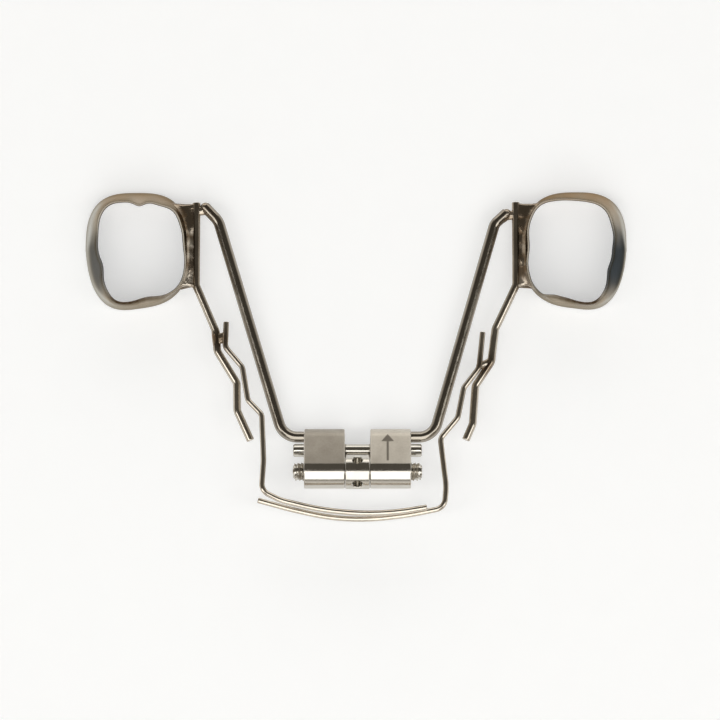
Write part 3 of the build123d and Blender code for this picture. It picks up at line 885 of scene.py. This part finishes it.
# wets: the stretch of each wire that the solder covers, and the wire's radius
drops = {
    "leftArmDrop": {"node": "left_arm_solder", "bridge": 0.34, "reach": 0.2, "wets": [
        ((leftStripX, 28.85, supportZ), (leftStripX, 27.85, supportZ), 0.43),
        ((leftStripX + 0.95, 28.8, supportZ), (leftStripX + 1.5, 28.2, supportZ), 0.58)],
        "paintedGlints": [((leftStripX + 0.4, 28.4, supportZ + 0.5), 0.4, 0.6)]},
    "rightArmDrop": {"node": "right_arm_solder", "bridge": 0.34, "reach": 0.2, "wets": [
        ((rightStripX, 28.6, supportZ), (rightStripX, 27.4, supportZ), 0.43),
        ((rightStripX - 1.0, 28.1, supportZ), (rightStripX - 1.5, 27.6, supportZ), 0.58)],
        "paintedGlints": [((rightStripX - 0.5, 28.0, supportZ + 0.5), 0.4, 0.5)]},
    "leftWireDrop": {"node": "left_wire_solder", "bridge": 0.27, "reach": 0.35, "wets": [
        ((-15.2, 15.45, supportZ), (-14.97, 13.35, supportZ), 0.43),
        ((-14.03, 15.45, archZ), (-14.1, 13.75, archZ), 0.31)],
        "paintedGlints": [((-14.6, 15.0, -0.4), 0.25, 0.3)]},
    "rightWireDrop": {"node": "right_wire_solder", "bridge": 0.27, "reach": 0.25, "wets": [
        ((14.31, 12.4, supportZ), (14.0, 11.6, supportZ), 0.43),
        ((13.0, 11.75, archZ), (12.85, 11.15, archZ), 0.31)],
        "paintedGlints": [((13.7, 11.5, -0.5), 0.4, 0.9)]},
}
for dropName, drop in drops.items():
    dress(makeDrop(dropName, drop), drop["node"], sharp=60)
print("solder made")

# gap is the air under the lowest edges, fibre the grain of the card, all in mm
floorLook = {"dark": "#D6D6D6", "light": "#DADADA", "own": "#FBFDFF", "glow": 0.44, "radius": 3000.0, "middle": 12,
             "gap": 0.005, "fibre": 3.0}


def makeFloor():  # matt white card; a little of its white is its own, so the soft shadow stays pale
    f = floorLook
    build = bmesh.new()
    at = Matrix.Translation((0, f["middle"] * mm, (floorZ - f["gap"]) * mm))
    bmesh.ops.create_circle(build, cap_ends=True, segments=96, radius=f["radius"] * mm, matrix=at)
    mesh = bpy.data.meshes.new("floor")
    build.to_mesh(mesh)
    build.free()
    floor = newObject("floor", mesh)
    material, tree, place = newMaterial("mattWhiteCard")
    fibre = addNode(tree, "ShaderNodeTexNoise", {"Vector": place, "Scale": perMm(f["fibre"]), "Detail": 3.0})
    tone = addNode(tree, "ShaderNodeMix", {0: fibre.outputs["Fac"], 6: linear(f["dark"]), 7: linear(f["light"])},
                   data_type="RGBA")
    card = addNode(tree, "ShaderNodeBsdfDiffuse", {"Color": tone.outputs[2]})
    path = addNode(tree, "ShaderNodeLightPath")
    seen = addNode(tree, "ShaderNodeMath", {0: path.outputs["Is Camera Ray"], 1: path.outputs["Is Glossy Ray"]},
                   operation="ADD")
    seen = addNode(tree, "ShaderNodeMath", {0: seen.outputs[0], 1: path.outputs["Is Transmission Ray"]},
                   operation="ADD", use_clamp=True)
    glow = addNode(tree, "ShaderNodeMath", {0: seen.outputs[0], 1: f["glow"]}, operation="MULTIPLY")
    own = addNode(tree, "ShaderNodeEmission", {"Color": linear(f["own"]), "Strength": glow.outputs[0]})
    both = addNode(tree, "ShaderNodeAddShader", {0: card.outputs[0], 1: own.outputs[0]})
    addNode(tree, "ShaderNodeOutputMaterial", {"Surface": both.outputs[0]})
    paint(floor, material)


makeFloor()

# each lamp is a soft panel: where it hangs (degrees), how big (mm) and how bright it looks
lampDistance = 1200
lamps = {
    "frontPanel": {"azimuth": 0, "elevation": 57, "size": (1020, 1300), "bright": 2.0, "colour": "#FFFEFB"},
    "leftPanel": {"azimuth": -72, "elevation": 48, "size": (340, 640), "bright": 2.6, "colour": "#FFFEFB"},
    "rightPanel": {"azimuth": 72, "elevation": 48, "size": (340, 640), "bright": 2.6, "colour": "#FFFEFB"},
    "backPanel": {"azimuth": 180, "elevation": 22, "size": (1700, 470), "bright": 1.3, "colour": "#FFFDF9"},
}


def hangLamps():
    middle = Vector((0, floorLook["middle"], 0)) * mm
    for name, lamp in lamps.items():
        width, height = [v * mm for v in lamp["size"]]
        light = bpy.data.lights.new(name, "AREA")
        light.shape = "RECTANGLE"
        light.size, light.size_y = width, height
        light.energy = lamp["bright"] * pi * width * height
        light.color = linear(lamp["colour"])[:3]
        a, e = radians(lamp["azimuth"]), radians(lamp["elevation"])
        way = Vector((sin(a) * cos(e), -cos(a) * cos(e), sin(e)))
        panel = newObject(name, light)
        panel.location = middle + way * lampDistance * mm
        panel.rotation_euler = way.to_track_quat("Z", "Y").to_euler()


hangLamps()

worldLook = {"walls": "#E2DED6", "ceiling": "#57534C", "wallTop": (0.22, 0.45)}


def paintRoom():  # pale walls up to wallTop, as the sine of the height, and a dark ceiling for the metal to mirror
    world = scene.world or bpy.data.worlds.new("studio")
    scene.world = world
    world.use_nodes = True
    tree = world.node_tree
    tree.nodes.clear()
    direction = addNode(tree, "ShaderNodeTexCoord").outputs["Generated"]
    height = addNode(tree, "ShaderNodeSeparateXYZ", {0: direction})
    above = addNode(tree, "ShaderNodeMapRange", {0: height.outputs["Z"], 1: worldLook["wallTop"][0],
                                                 2: worldLook["wallTop"][1]})
    room = addNode(tree, "ShaderNodeMix", {0: above.outputs[0], 6: linear(worldLook["walls"]),
                                           7: linear(worldLook["ceiling"])}, data_type="RGBA")
    sky = addNode(tree, "ShaderNodeBackground", {"Color": room.outputs[2], "Strength": 1.0})
    addNode(tree, "ShaderNodeOutputWorld", {"Surface": sky.outputs[0]})


paintRoom()

view = {"target": (0.266, 12.023, 0.0), "elevation": 80.0, "distance": 480.0, "lens": 225.6}  # mm and degrees
camera = newObject("camera", bpy.data.cameras.new("camera"))
camera.data.lens = view["lens"]
camera.data.sensor_width = 36.0
tilt = radians(view["elevation"])
camera.location = (Vector(view["target"]) + Vector((0, -cos(tilt), sin(tilt))) * view["distance"]) * mm
camera.rotation_euler = (pi / 2 - tilt, 0, 0)
scene.camera = camera
scene.view_settings.view_transform = "Standard"
print("stage made")
